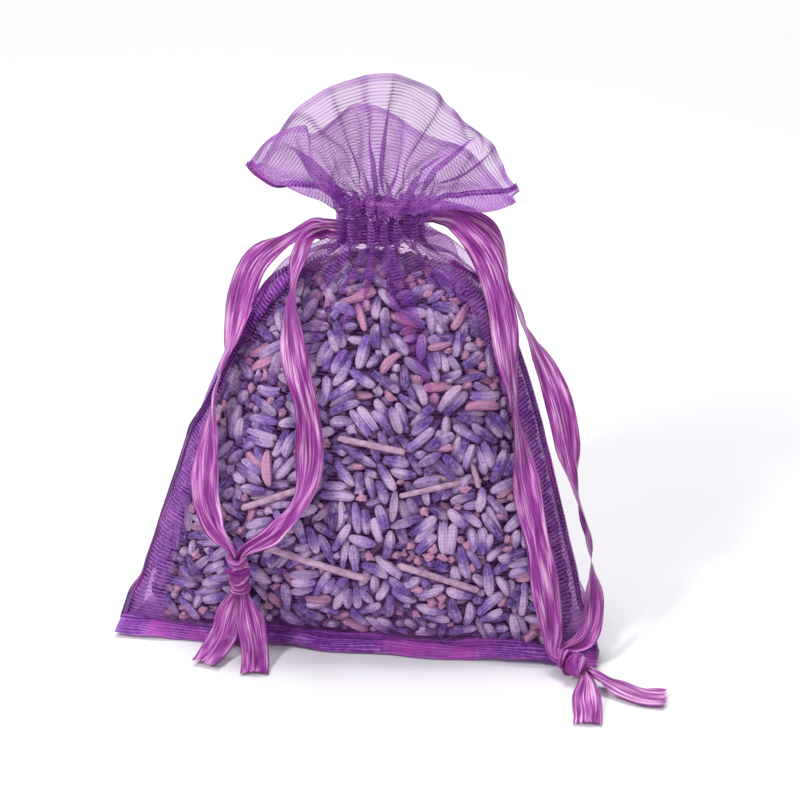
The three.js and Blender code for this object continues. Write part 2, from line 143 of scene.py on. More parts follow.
def bump(tree, shader, height, strength, distance):
    normal = addNode(tree, "Bump", {}, {"Height": height, "Strength": strength, "Distance": distance})
    plug(tree, shader, "Normal", normal)


def meshOf(name, bm):
    mesh = bpy.data.meshes.new(name)
    bm.to_mesh(mesh)
    bm.free()
    return mesh


def addObject(name, data):
    item = bpy.data.objects.new(name, data)
    scene.collection.objects.link(item)
    return item


def newPiece(name, bm, material, body, replaces=()):
    mesh = meshOf(name, bm)
    mesh.polygons.foreach_set("use_smooth", [True] * len(mesh.polygons))
    piece = addObject(name, mesh)
    mesh.materials.append(material)
    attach(piece, body)
    if replaces:
        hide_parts(*replaces)
    return piece


def turnOver(bm):  # faces that looked in look out
    bmesh.ops.reverse_faces(bm, faces=bm.faces)


def mapUv(bm, name, placeOf):
    layer = bm.loops.layers.uv.new(name)
    for face in bm.faces:
        for loop in face.loops:
            loop[layer].uv = placeOf(loop)


# camera, floor and light
view = {"azimuth": 8, "elevation": 25, "distance": 0.56, "lens": 160, "aim": (0.005, -0.004, 0.0365)}

azimuth = math.radians(view["azimuth"])
elevation = math.radians(view["elevation"])
toCamera = Vector((math.sin(azimuth) * math.cos(elevation), -math.cos(azimuth) * math.cos(elevation),
                   math.sin(elevation)))
cameraData = bpy.data.cameras.new("camera")
cameraData.lens = view["lens"]
cameraData.sensor_width = 36
cameraData.clip_start = 0.01
camera = addObject("camera", cameraData)
camera.location = Vector(view["aim"]) + toCamera * view["distance"]
camera.rotation_euler = toCamera.to_track_quat("Z", "Y").to_euler()
bpy.context.scene.camera = camera
scene.view_settings.view_transform = "Standard"
scene.cycles.transparent_max_bounces = 40

studio = {"floorSize": 1.6, "floorDrop": 0.0002, "floorColour": (0.9, 0.9, 0.91, 1), "fadeFrom": 0.15,
          "fadeOver": 0.2, "worldColour": (0.9, 0.86, 1, 1), "worldStrength": 0.18, "lampAim": (0, 0, 0.03)}
lamps = {"overheadBox": ((-0.05, 0.18, 0.6), (0.3, 0.26), 3.0),  # place, size and power
         "frontBox": ((0.16, -0.5, 0.5), (0.22, 0.22), 1.1),
         "keyBox": ((-0.33, -0.36, 0.5), (0.1, 0.1), 1.95)}

for name, (place, size, power) in lamps.items():
    softbox = bpy.data.lights.new(name, "AREA")
    softbox.shape = "RECTANGLE"
    softbox.size, softbox.size_y = size
    softbox.energy = power
    lamp = addObject(name, softbox)
    lamp.location = place
    lamp.rotation_euler = (Vector(place) - Vector(studio["lampAim"])).to_track_quat("Z", "Y").to_euler()

world = bpy.data.worlds.new("studio")
world.use_nodes = True
worldTree = world.node_tree
worldTree.nodes.clear()


def inView(tree):  # 1 for the rays that show the background
    rays = addNode(tree, "LightPath", out="Is Camera Ray")
    mirrored = rays.math("MAXIMUM", rays.also("Is Glossy Ray"))
    return mirrored.math("MAXIMUM", rays.also("Is Transmission Ray"))


soft = addNode(worldTree, "Background", {}, {0: studio["worldColour"], 1: studio["worldStrength"]})
white = addNode(worldTree, "Background", {}, {0: (1, 1, 1, 1), 1: 1.0})
both = addNode(worldTree, "MixShader", {}, {0: inView(worldTree), 1: soft, 2: white})
addNode(worldTree, "OutputWorld", {}, {0: both})
scene.world = world

floorMesh = bmesh.new()
bmesh.ops.create_grid(floorMesh, x_segments=1, y_segments=1, size=studio["floorSize"])
bmesh.ops.translate(floorMesh, verts=floorMesh.verts, vec=(0, 0, -studio["floorDrop"]))
floor = addObject("floor", meshOf("floor", floorMesh))
floorPaint, floorTree, floorShader = newMaterial("floorPaper", Roughness=0.75,
                                                 Base_Color=studio["floorColour"])
floor.data.materials.append(floorPaint)
right, away, _ = parts(objectPlace(floorTree))
distance = (right * right + away * away) ** 0.5
fade = clamped((distance - studio["fadeFrom"]) / studio["fadeOver"])  # white far away
glow = addNode(floorTree, "Emission", {}, {0: (1, 1, 1, 1), 1: 1.0})
paper = Wire(floorTree, floorShader.outputs[0])
faded = addNode(floorTree, "MixShader", {}, {0: fade * inView(floorTree), 1: paper, 2: glow})
floorTree.links.new(faded.socket, floorTree.nodes["Material Output"].inputs[0])
print("camera, lights and floor set")


# woven and dried finishes
def threadMask(position, width):  # 1 on a thread, 0 between two
    ridge = 1 - (position.math("FRACT") * 2 - 1).math("ABSOLUTE")
    return ((ridge - (1 - width)) / width).math("MAXIMUM", 0.0)


# thread and lit are a shaded and a lit copy of the thread colour; lit is a painted highlight
sheer = {"thread": (0.15, 0.010, 0.27), "lit": (0.69, 0.27, 0.79), "tint": (0.95, 0.84, 0.97, 1),
         "patch": (0.5, 0.06, 0.46, 1), "open": 0.03, "woven": 0.14, "pitch": 0.56}


def organzaMaterial(name, layers, packed=0.0):
    material, tree, shader = newMaterial(name, Roughness=0.45, Sheen_Weight=0.12, Sheen_Roughness=0.3)
    shader.inputs["Sheen Tint"].default_value = (0.9, 0.5, 0.95, 1)
    shader.inputs["Specular IOR Level"].default_value = 0.2
    across, along, _ = parts(addNode(tree, "UVMap", {"uv_map": "cloth"}))
    place = objectPlace(tree)
    cloud = noiseAt(tree, place, 130.0, 2.0)
    fibre = noiseAt(tree, place, 1100.0, 1.0)
    slub = addNode(tree, "TexNoise", {"noise_dimensions": "1D"},
                   {"W": along * 0.9, "Scale": 1.0, "Detail": 2.0})
    warp = threadMask(across / (sheer["pitch"] * 0.7), 0.5)
    weft = threadMask(along / sheer["pitch"] + (cloud - 0.5) * 0.5, 0.75) * (0.55 + slub * 0.9)
    thread = (warp * 0.4).math("MAXIMUM", weft)
    # painted highlight: thread crowns lean to the lit colour, with random tone from the noise
    colour = mixColour(tree, clamped(thread * 0.6 + (cloud - 0.5) * 0.9 + (fibre - 0.5) * 0.8),
                       (*sheer["thread"], 1), (*sheer["lit"], 1))
    if packed:  # sewn edges catch the light in patches
        colour = mixColour(tree, clamped((cloud - 0.5) * 4), colour, sheer["patch"])
    plug(tree, shader, "Base Color", colour)
    # threads close up when seen edge-on
    edgeOn = addNode(tree, "LayerWeight", {}, {"Blend": 0.5}, out=1) ** 1.6
    folded = attribute(tree, "folded")  # 1 in gathers and hems
    cover = sheer["open"] + folded * 0.08 + thread * (sheer["woven"] + folded * 0.38)
    cover = clamped(cover + packed + (fibre - 0.5) * 0.08 + edgeOn * (0.32 + thread * 0.6))
    clear = addNode(tree, "BsdfTransparent", {}, {"Color": sheer["tint"]})
    lit = Wire(tree, shader.outputs[0])
    cloth = addNode(tree, "MixShader", {}, {0: 1 - (1 - cover) ** layers, 1: clear, 2: lit})
    tree.links.new(cloth.socket, tree.nodes["Material Output"].inputs[0])
    bump(tree, shader, thread, 0.3, 0.0002)
    return material


organza = organzaMaterial("organza", 1)
organzaDoubled = organzaMaterial("organzaDoubled", 1.6)
organzaSewn = organzaMaterial("organzaSewn", 4, 0.3)

# deep and lit are painted shade and painted highlight colours; deep also colours the selvedge
satin = {"deep": (0.12, 0.010, 0.13), "mid": (0.37, 0.045, 0.36), "lit": (0.93, 0.58, 0.86)}


def satinMaterial():
    material, tree, shader = newMaterial("satinRibbon", Specular_IOR_Level=0.3, Anisotropic=0.5)
    across, along, _ = parts(addNode(tree, "UVMap", {"uv_map": "strip"}))
    fine = addNode(tree, "CombineXYZ", {}, {0: across * 16.0, 1: along * 0.13})
    streak = noiseAt(tree, fine, 1.0, 2.5, Roughness=0.6)
    broad = addNode(tree, "CombineXYZ", {}, {0: across * 4.0, 1: along * 0.12})
    crease = noiseAt(tree, broad, 1.0, 1.0)
    # painted light: streaks and broad creases get painted shade (deep) and painted highlight (lit)
    stops = [(0.36, satin["deep"]), (0.5, satin["mid"]), (0.66, satin["lit"])]
    colour = addNode(tree, "ValToRGB", {"stops": stops}, {0: streak * 0.6 + crease * 0.4})
    edge = clamped(((across - 0.5).math("ABSOLUTE") - 0.44) * 30)  # selvedge
    plug(tree, shader, "Base Color", mixColour(tree, edge * 0.5, colour, (*satin["deep"], 1)))
    plug(tree, shader, "Roughness", 0.2 + streak * 0.3)
    frayed = attribute(tree, "fray")
    plug(tree, shader, "Alpha", clamped((streak - frayed) * 6 + 0.5))
    bump(tree, shader, streak * 0.6 + crease, 0.7, 0.0004)
    return material


satinRibbon = satinMaterial()

budLook = {"husk": [(0.0, (0.48, 0.42, 0.72)), (0.35, (0.76, 0.71, 0.91)), (0.7, (0.93, 0.89, 0.99)),
                    (1.0, (0.99, 0.93, 0.98))],
           "violet": [(0.0, (0.05, 0.024, 0.20)), (0.35, (0.14, 0.09, 0.44)), (0.7, (0.31, 0.23, 0.66)),
                      (1.0, (0.54, 0.47, 0.80))],
           # groove: dark specks, and painted shade in the hollows between the ribs
           "frost": (1.0, 0.98, 1.0, 1), "pink": (1.0, 0.60, 0.62, 1), "speckAndGrooveShade": (0.07, 0.03, 0.16, 1),
           # gap: painted shade colour for buds that lie deeper in the bed
           "gap": (0.03, 0.004, 0.075, 1), "ribs": 7}


def budMaterial():
    material, tree, shader = newMaterial("driedBuds", Roughness=0.8, Sheen_Weight=0.25, Sheen_Roughness=0.6)
    shader.inputs["Sheen Tint"].default_value = (0.95, 0.9, 1, 1)
    tint = addNode(tree, "Attribute", {"attribute_name": "bud"})
    shade, chance, along = parts(tint, "SeparateColor")
    around = tint.also(3)
    under = attribute(tree, "under")  # depth in the bed, read by the painted shade below
    place = objectPlace(tree)
    speck = noiseAt(tree, place, 1300.0, 4.0, Roughness=0.8)
    blotch = noiseAt(tree, place, 420.0, 1.0)
    husk = addNode(tree, "ValToRGB", {"stops": budLook["husk"]}, {0: chance})
    violet = addNode(tree, "ValToRGB", {"stops": budLook["violet"]}, {0: shade})
    reach = clamped(along * 2.4 - 0.65 + (0.5 - shade) * 1.5 + (blotch - 0.5) * 1.8)
    colour = mixColour(tree, reach, husk, violet)
    rib = (around * budLook["ribs"] * 2 * math.pi).math("SINE") * 0.5 + 0.5
    frost = clamped((speck - 0.47) * 5.5 + rib * 0.4 - 0.15)
    colour = mixColour(tree, frost * (1 - reach * 0.6), colour, budLook["frost"])
    pink = attribute(tree, "pink")
    colour = mixColour(tree, clamped(pink * (0.55 + speck * 0.7)), colour, budLook["pink"])
    # dark specks, and painted shade in the hollows between the ribs
    speckAndGrooveShade = clamped((0.45 - speck) * 6 + (0.22 - rib) * 1.3)
    colour = mixColour(tree, speckAndGrooveShade * 0.6, colour, budLook["speckAndGrooveShade"])
    # painted shade: buds lying deeper in the bed are darkened towards the gap colour
    depthShade = clamped((under - 0.14) * 3)
    colour = mixColour(tree, depthShade * (0.95 - pink * 0.3), colour, budLook["gap"])
    plug(tree, shader, "Base Color", colour)
    bump(tree, shader, rib * 0.5 + speck, 0.8, 0.0004)
    return material


driedBuds = budMaterial()

stemLook = {"stops": [(0.3, (0.52, 0.42, 0.38)), (0.7, (0.95, 0.86, 0.80))], "scale": 900.0, "detail": 3.0}
# painted shade: the near-black sheet under the buds stands in for the shaded inside of the bed
shadeCoreLook = {"stops": [(0.3, (0.012, 0.005, 0.025)), (0.7, (0.04, 0.02, 0.07))], "scale": 500.0, "detail": 4.0}


def grainyMaterial(name, look, roughness, raised=0):
    material, tree, shader = newMaterial(name, Roughness=roughness)
    grain = noiseAt(tree, objectPlace(tree), look["scale"], look["detail"])
    plug(tree, shader, "Base Color", addNode(tree, "ValToRGB", {"stops": look["stops"]}, {0: grain}))
    if raised:
        bump(tree, shader, grain, 0.5, raised)
    return material


driedStem = grainyMaterial("driedStem", stemLook, 0.75, 0.0002)
bedShade = grainyMaterial("bedShade", shadeCoreLook, 0.95)

threadLook = {"dark": (0.42, 0.12, 0.44, 1), "light": (0.80, 0.48, 0.78, 1)}


def stitchMaterial():
    material, tree, shader = newMaterial("stitchThread", Roughness=0.5, Sheen_Weight=0.3)
    ply = addNode(tree, "TexWave", {}, {"Vector": objectPlace(tree), "Scale": 900.0, "Distortion": 1.0})
    plug(tree, shader, "Base Color", mixColour(tree, ply, threadLook["dark"], threadLook["light"]))
    bump(tree, shader, ply, 0.4, 0.0001)
    return material


stitchThread = stitchMaterial()
print("finishes mixed")


# drawstrings: each strand runs from the casing through the knot to its cut tail
ribbonLook = {"width": 4.4, "bunched": 2.4, "crinkle": 0.42, "twist": 0.85, "clear": 0.75, "near": 3,
              "belowNeck": 57, "pastMouth": 16, "floorGap": 0.15, "acrossSteps": 14, "stepsPerStop": 9}
neck = {"y": 9.0, "base": 58.0, "radius": 7.2, "casing": 6.4}


def throughStops(values, steps):  # smooth curve through every stop
    values = np.asarray(values, float)
    padded = np.vstack([2 * values[0] - values[1], values, 2 * values[-1] - values[-2]])
    rows = []
    for i in range(1, len(padded) - 2):
        for t in np.arange(steps) / steps:
            a, b, c, d = padded[i - 1:i + 3]
            rows.append(0.5 * (2 * b + (c - a) * t + (2 * a - 5 * b + 4 * c - d) * t ** 2
                               + (3 * b - a - 3 * c + d) * t ** 3))
    rows.append(values[-1])
    return np.array(rows)


def unit(vectors):
    return vectors / np.linalg.norm(vectors, axis=-1, keepdims=True)


def runAlong(line):  # length up to each point
    return np.concatenate([[0], np.cumsum(np.linalg.norm(np.diff(line, axis=0), axis=1))])


def ribbonStrip(stops, seed, frayed=True, twist=0.0, clothTree=None):
    dense = throughStops(stops, ribbonLook["stepsPerStop"])
    centre, facing, width = dense[:, :3], dense[:, 3:6], dense[:, 6]
    along = unit(np.gradient(centre, axis=0))
    side = unit(np.cross(along, facing))
    out = unit(np.cross(side, along))
    travelled = runAlong(centre)
    swing = twist * np.sin(travelled * 0.16 + seed * 2) * smoothStep(width, 3.2, 4.3)
    swing = swing * smoothStep(centre[:, 2], 4, 14)  # the tails lie flat on the floor
    lift = np.abs(np.sin(swing)) * width * 0.36
    if clothTree:  # lie on the folds, not in them
        for i, point in enumerate(centre):
            if point[2] < ribbonLook["belowNeck"] and travelled[i] > ribbonLook["pastMouth"]:
                near, normal, _, _ = clothTree.find_nearest(Vector(point * mm))
                normal = normal if normal.dot(Vector(out[i])) > 0 else -normal
                away = Vector(point * mm) - near
                if away.length < ribbonLook["near"] * mm:
                    lift[i] += max(0, ribbonLook["clear"] - float(away.dot(normal)) / mm)
        window = np.hanning(15)
        lift = np.convolve(np.pad(lift, 6, mode="edge"), window[1:-1] / window.sum(), "valid")
    centre = centre + out * lift[:, None]
    side, out = (side * np.cos(swing)[:, None] + out * np.sin(swing)[:, None],
                 out * np.cos(swing)[:, None] - side * np.sin(swing)[:, None])
    bm = bmesh.new()
    rows, columns = len(centre) - 1, ribbonLook["acrossSteps"]
    bmesh.ops.create_grid(bm, x_segments=rows, y_segments=columns, size=0.5)
    fray = bm.verts.layers.float.new("fray")
    places = {}
    for vert in bm.verts:
        row = int(round((vert.co.x + 0.5) * rows))
        across = vert.co.y * 2
        places[vert] = (across * 0.5 + 0.5, travelled[row])
        bunch = 1 - min(1, width[row] / ribbonLook["width"])
        crease = math.sin(0.33 * travelled[row] + 2.1 * seed) + 0.6 * math.sin(0.83 * travelled[row] + seed)
        fold = bunch * 0.9 * math.cos(across * 7.5 + seed)
        fold += ribbonLook["crinkle"] * crease * math.cos(4.4 * across + seed)
        cup = 0.45 * across ** 2 * math.sin(0.19 * travelled[row] + seed)
        point = centre[row] + side[row] * across * width[row] / 2 + out[row] * (fold * 0.6 + cup)
        vert.co = Vector((point[0], point[1], max(point[2], ribbonLook["floorGap"]))) * mm
        left = travelled[-1] - travelled[row]
        vert[fray] = max(0, 1.0 - left / 1.6) * 0.9 if frayed else 0
    turnOver(bm)  # the grid looks away from where the strip faces
    mapUv(bm, "strip", lambda loop: places[loop.vert])
    return bm, centre * mm, travelled[-1] * mm


def leadStops(direction, offset, level):  # straight inside the casing, long enough to slide out
    places = (direction * (neck["radius"] - 9.5), direction * 3, direction * neck["radius"],
              direction * (neck["radius"] + 1.8))
    return [(x, neck["y"] + offset, neck["base"] + level, 0, -1, 0, ribbonLook["bunched"]) for x in places]


wide = ribbonLook["width"]
leftFront = leadStops(-1, -0.75, 1.6) + [
    (-11.5, 3.9, 59, -0.3, -0.75, 0.6, 3), (-11.8, -4.5, 53.6, -0.33, -0.74, 0.58, wide),
    (-10.4, -9.9, 44.8, -0.26, -0.78, 0.57, wide), (-7.6, -14.6, 36.2, -0.15, -0.84, 0.52, wide),
    (-7.9, -18.7, 27.1, -0.16, -0.88, 0.43, wide), (-11.9, -20.9, 20.6, -0.22, -0.92, 0.3, 3.6),
    (-16.8, -22.6, 17.6, -0.25, -0.95, 0.15, 1.8), (-17.7, -22.9, 13.8, -0.25, -0.95, 0.15, 1.6),
    (-16.6, -23.8, 10, -0.1, -0.98, 0.1, 1.9), (-15.9, -24.2, 6.4, 0, -0.98, 0.2, wide),
    (-15.2, -25, 2.8, 0, -0.8, 0.6, wide), (-14.6, -27.6, 0.9, 0, -0.3, 0.95, wide),
    (-14.2, -30.8, 0.6, 0, 0, 1, wide)]
leftBack = leadStops(-1, 0.75, 1.6) + [
    (-12.4, 9.8, 59, -0.4, -0.6, 0.7, 3), (-19, 4.6, 54.1, -0.62, -0.52, 0.58, wide),
    (-21.5, -4.2, 44.2, -0.48, -0.68, 0.55, wide), (-23.9, -9.1, 35.2, -0.52, -0.7, 0.5, wide),
    (-24, -14.8, 25.6, -0.45, -0.78, 0.42, wide), (-22, -19, 19.9, -0.4, -0.86, 0.3, 3.6),
    (-19, -22.4, 17.6, -0.28, -0.94, 0.15, 1.8), (-17.9, -22.9, 13.8, -0.25, -0.95, 0.15, 1.6),
    (-18.4, -22.9, 10, -0.1, -0.98, 0.1, 1.9), (-19.4, -22.6, 6.6, -0.1, -0.98, 0.2, wide),
    (-20.3, -23.4, 3.2, -0.1, -0.8, 0.6, wide), (-21.6, -25.8, 1.1, -0.1, -0.3, 0.95, wide),
    (-22.6, -29.2, 0.6, 0, 0, 1, wide)]
rightFront = leadStops(1, -0.75, 4.8) + [
    (12.6, 7.6, 62.2, 0.25, -0.9, 0.35, 3.4), (17, 5, 57.6, 0.45, -0.7, 0.55, wide),
    (20.4, 0, 49.2, 0.52, -0.62, 0.58, wide), (22.8, -6.3, 39.5, 0.5, -0.68, 0.54, wide),
    (25.2, -11.4, 29.4, 0.48, -0.75, 0.46, wide), (27.8, -15.6, 18.9, 0.45, -0.83, 0.33, wide),
    (30.2, -17.8, 9.9, 0.35, -0.92, 0.2, wide), (31.2, -20.1, 5.4, 0.3, -0.7, 0.6, 3.4),
    (31.9, -22.6, 2.8, 0.1, -0.3, 0.95, 1.8), (35.3, -24.6, 2.8, 0.1, -0.3, 0.95, 1.6),
    (37.3, -27.8, 2.4, 0, 0, 1, 1.9), (37.8, -31.6, 1.1, 0, 0, 1, wide),
    (38.4, -35.5, 0.6, 0, 0, 1, wide), (38.6, -39, 0.6, 0, 0, 1, wide)]
rightBack = leadStops(1, 0.75, 4.8) + [
    (13.2, 10, 62.4, 0.3, -0.85, 0.4, 3.4), (17.9, 9.6, 58.4, 0.5, -0.5, 0.7, wide),
    (21.4, 4.9, 50.6, 0.75, -0.4, 0.5, wide), (27.2, 1.1, 40.3, 0.85, -0.35, 0.4, wide),
    (31.4, -4.2, 28.4, 0.85, -0.35, 0.4, wide), (34.8, -9.2, 17.3, 0.85, -0.4, 0.35, wide),
    (36.9, -14.4, 8.8, 0.75, -0.55, 0.35, wide), (36.4, -19, 4.4, 0.4, -0.55, 0.7, 3.4),
    (33.1, -20.9, 2.8, 0.1, -0.3, 0.95, 1.8), (35.6, -24.4, 2.8, 0.1, -0.3, 0.95, 1.6),
    (38.7, -26.4, 2.4, 0, 0, 1, 1.9), (42.4, -27.5, 1.1, 0, 0, 1, wide),
    (46.5, -29.4, 0.6, 0, 0, 1, wide), (50.5, -29.6, 0.6, 0, 0, 1, wide)]


knotLook = {"turns": 2.6, "radius": 1.5, "rise": 4.6, "band": 2.7, "stops": 17, "core": (1.5, 1.5, 2.6)}


def tieKnot(name, middle, along, body, node):  # ribbon wound tight round itself, one turn crossing over
    along = unit(np.array(along, float))
    sideways = unit(np.cross(along, (0.3, 1, 0.2)))
    other = np.cross(along, sideways)
    stops = []
    for share in np.linspace(0, 1, knotLook["stops"]):
        angle = 2 * math.pi * knotLook["turns"] * share
        out = sideways * math.cos(angle) + other * math.sin(angle)
        radius = knotLook["radius"] * (1 + 0.12 * math.sin(3.1 * angle))
        lift = (share - 0.5) * knotLook["rise"] + 0.5 * math.sin(angle * 1.5)
        point = np.array(middle) + out * radius + along * lift
        stops.append((*point, *out, knotLook["band"] * (0.85 + 0.2 * math.cos(2 * angle))))
    bm, _, _ = ribbonStrip(stops, 1.7, False)
    core = bmesh.ops.create_uvsphere(bm, u_segments=14, v_segments=10, radius=1)["verts"]
    for vert in core:
        x, y, z = vert.co
        wide, deep, tall = knotLook["core"]
        vert.co = Vector((np.array(middle) + sideways * x * wide + other * y * deep + along * z * tall) * mm)
    return newPiece(name, bm, satinRibbon, body, (node,))


def hangRibbon(name, stops, seed, body, nodes):
    bm, path, length = ribbonStrip(stops, seed, True, ribbonLook["twist"], clothTree)
    piece = newPiece(name, bm, satinRibbon, body, nodes)


# organza pouch: an open tube round the fill, drawn together at the casing
pouch = {"width": 76.0, "neckHeight": 58.0, "frontEdge": -17.0, "baseBack": 13.0, "back": 24.0,
         "bulge": 13.0, "taper": 0.54, "shoulder": 6, "frontRound": 4, "backRound": 2, "frontBelly": 0.42,
         "backBelly": 0.3, "header": 20.0, "backBaseCut": 104, "backCut": 84.0, "pleats": 15, "floorGap": 0.1,
         "frontColumns": 92, "backColumns": 104, "bodyRows": 54, "casingRows": 5, "headerRows": 18,
         "underRows": 14, "underDepth": 30}


def smoothStep(x, low, high):
    t = np.clip((x - low) / (high - low), 0, 1)
    return t * t * (3 - 2 * t)


def roundDown(share, exponent):
    return np.sqrt(np.maximum(0, 1 - np.clip(share, 0, 1) ** exponent))


def seamX(h):
    spread = (pouch["width"] / 2 - neck["radius"]) * (1 - pouch["taper"] * h)
    return neck["radius"] + spread * roundDown(h, pouch["shoulder"])


def seamY(h):
    return pouch["frontEdge"] + (neck["y"] - pouch["frontEdge"]) * h


def frontDepth(h):
    belly = pouch["frontBelly"]
    rise = pouch["bulge"] * np.sin(np.pi / 2 * np.clip(h / belly, 0, 1)) ** 0.8
    drop = roundDown((h - belly) / (1 - belly), pouch["frontRound"])
    fall = neck["radius"] + (pouch["bulge"] - neck["radius"]) * drop
    return np.where(h < belly, rise, fall)


def backDepth(h):
    belly, neckBack = pouch["backBelly"], neck["y"] + neck["radius"]
    low = np.clip(1 - h / belly, 0, 1)
    rise = pouch["baseBack"] + (pouch["back"] - pouch["baseBack"]) * np.sqrt(1 - low ** 2)
    fall = neckBack + (pouch["back"] - neckBack) * roundDown((h - belly) / (1 - belly), pouch["backRound"])
    return np.where(h < belly, rise, fall) - seamY(h)


def arcSteps(wide, deep, turn):
    return np.hypot(np.diff(wide * np.cos(turn)), np.diff(deep * np.sin(turn)))


def halfArc(wide, deep):
    return arcSteps(wide, deep, np.linspace(0, np.pi, 241)).sum()


def sizeFor(lengthOf, length, low, high):  # size at which a curve comes out at this length
    for _ in range(40):
        middle = (low + high) / 2
        low, high = (low, middle) if lengthOf(middle) > length else (middle, high)
    return middle


def evenTurns(wide, deep, count):
    turn = np.linspace(0, np.pi, 721)
    run = np.concatenate([[0], np.cumsum(arcSteps(wide, deep, turn))])
    return np.interp(np.linspace(0, run[-1], count + 1), run, turn)


def tubeSections():  # half width, front depth, back depth, middle and height of each row of the open pouch
    sections, height, before = [], 0.0, 0.0
    for h in np.linspace(0, 1, pouch["bodyRows"] + 1):
        front = float(frontDepth(h)) + 0.25
        front = max(front, pouch["bulge"] + 0.4) if h > pouch["frontBelly"] else front
        half = float(seamX(h))
        if h > 0.02 and halfArc(half, front) < pouch["width"]:
            loose = sizeFor(lambda size: halfArc(size, front), pouch["width"], 5, 40)
            half += (loose - half) * float(smoothStep(h, 0.12, 0.5))
        back = float(backDepth(h)) + 0.25
        narrowing = float(smoothStep(h, 0.25, 0.8))
        cut = pouch["backBaseCut"] + (pouch["backCut"] - pouch["backBaseCut"]) * narrowing
        loose = sizeFor(lambda size: halfArc(half, size), cut, 2, 45)
        back += (loose - back) * float(smoothStep(h, 0.3, 0.55))
        inward = 0
        if h > 0.3:
            inward = 0.75 * (seamX(h) - seamX(before)) ** 2 + 0.5 * (seamY(h) - seamY(before)) ** 2
        height += min(2.6, math.sqrt(inward + ((h - before) * pouch["neckHeight"]) ** 2))
        before = h
        sections.append((half, front, back, float(seamY(h)), height))
    half, front, back, middle, height = sections[-1]
    for part, count in ((neck["casing"], pouch["casingRows"]), (pouch["header"], pouch["headerRows"])):
        sections += [(half, front, back, middle, height + part * (i + 1) / count) for i in range(count)]
        height += part
    return sections


def openTube():
    rows = []
    for half, front, back, middle, height in tubeSections():
        forward = evenTurns(half, front, pouch["frontColumns"])[:-1]
        around = np.pi - evenTurns(half, back, pouch["backColumns"])[:-1]
        x = half * np.cos(np.concatenate([forward, around]))
        y = middle + np.concatenate([-front * np.sin(forward), back * np.sin(around)])
        rows.append(np.stack([x, y, np.full(len(x), height)], 1))
    return np.array(rows)


def drawnNeck(points):  # uneven pleats with as much cloth in them as the tube has
    goal = points.copy()
    share = np.concatenate([np.arange(pouch["frontColumns"]) / pouch["frontColumns"],
                            1 + np.arange(pouch["backColumns"]) / pouch["backColumns"]]) / 2
    edges = np.concatenate([[0], np.cumsum(rng.uniform(0.6, 1.4, pouch["pleats"]))])
    edges /= edges[-1]
    pleat = np.clip(np.searchsorted(edges, share, side="right") - 1, 0, pouch["pleats"] - 1)
    size = np.diff(edges)
    phase = (share - edges[pleat]) / size[pleat]
    size = np.concatenate([[size[-1]], size, size[:1]]) * pouch["pleats"]
    swell = np.interp(pleat + phase, np.arange(-1, pouch["pleats"] + 1) + 0.5, size)
    radius = 5.2 + 1.9 * swell ** 0.7 * np.cos(2 * np.pi * phase)
    turn = -2 * np.pi * share + 0.18 * np.sin(4 * np.pi * phase)
    for row in range(pouch["casingRows"] + 1):
        at = goal[pouch["bodyRows"] + row]
        at[:, 0] = radius * np.cos(turn)
        at[:, 1] = neck["y"] + radius * np.sin(turn)
        at[:, 2] = neck["base"] + neck["casing"] * row / pouch["casingRows"]
    return goal


bedForm = {"voxel": 0.0013, "smoothing": 12, "coreDepth": 0.0045}


def fillForm(fill, size):  # the bed without its stem grooves
    form = addObject("fillForm", fill.data.copy())
    form.data.transform(((size, 0, 0, 0), (0, size, 0, 0), (0, 0, size, 0), (0, 0, 0, 1)))
    grain = form.modifiers.new("grain", "REMESH")
    grain.mode = "VOXEL"
    grain.voxel_size = bedForm["voxel"] * size
    rounded = form.modifiers.new("rounded", "SMOOTH")
    rounded.iterations = bedForm["smoothing"]
    mesh = bpy.data.meshes.new_from_object(form.evaluated_get(bpy.context.evaluated_depsgraph_get()))
    form.modifiers.clear()
    form.data = mesh
    return form


draw = {"size": 20.0, "frames": 56, "settle": 16, "quality": 5, "stretch": 40.0, "shear": 12.0, "bend": 4.0,
        "mass": 0.1, "damping": 8, "bendDamping": 0.8, "air": 3, "friction": 5, "fillSkin": 0.01,
        "fillGap": 0.012, "clothGap": 0.006, "heldBase": 0.1}


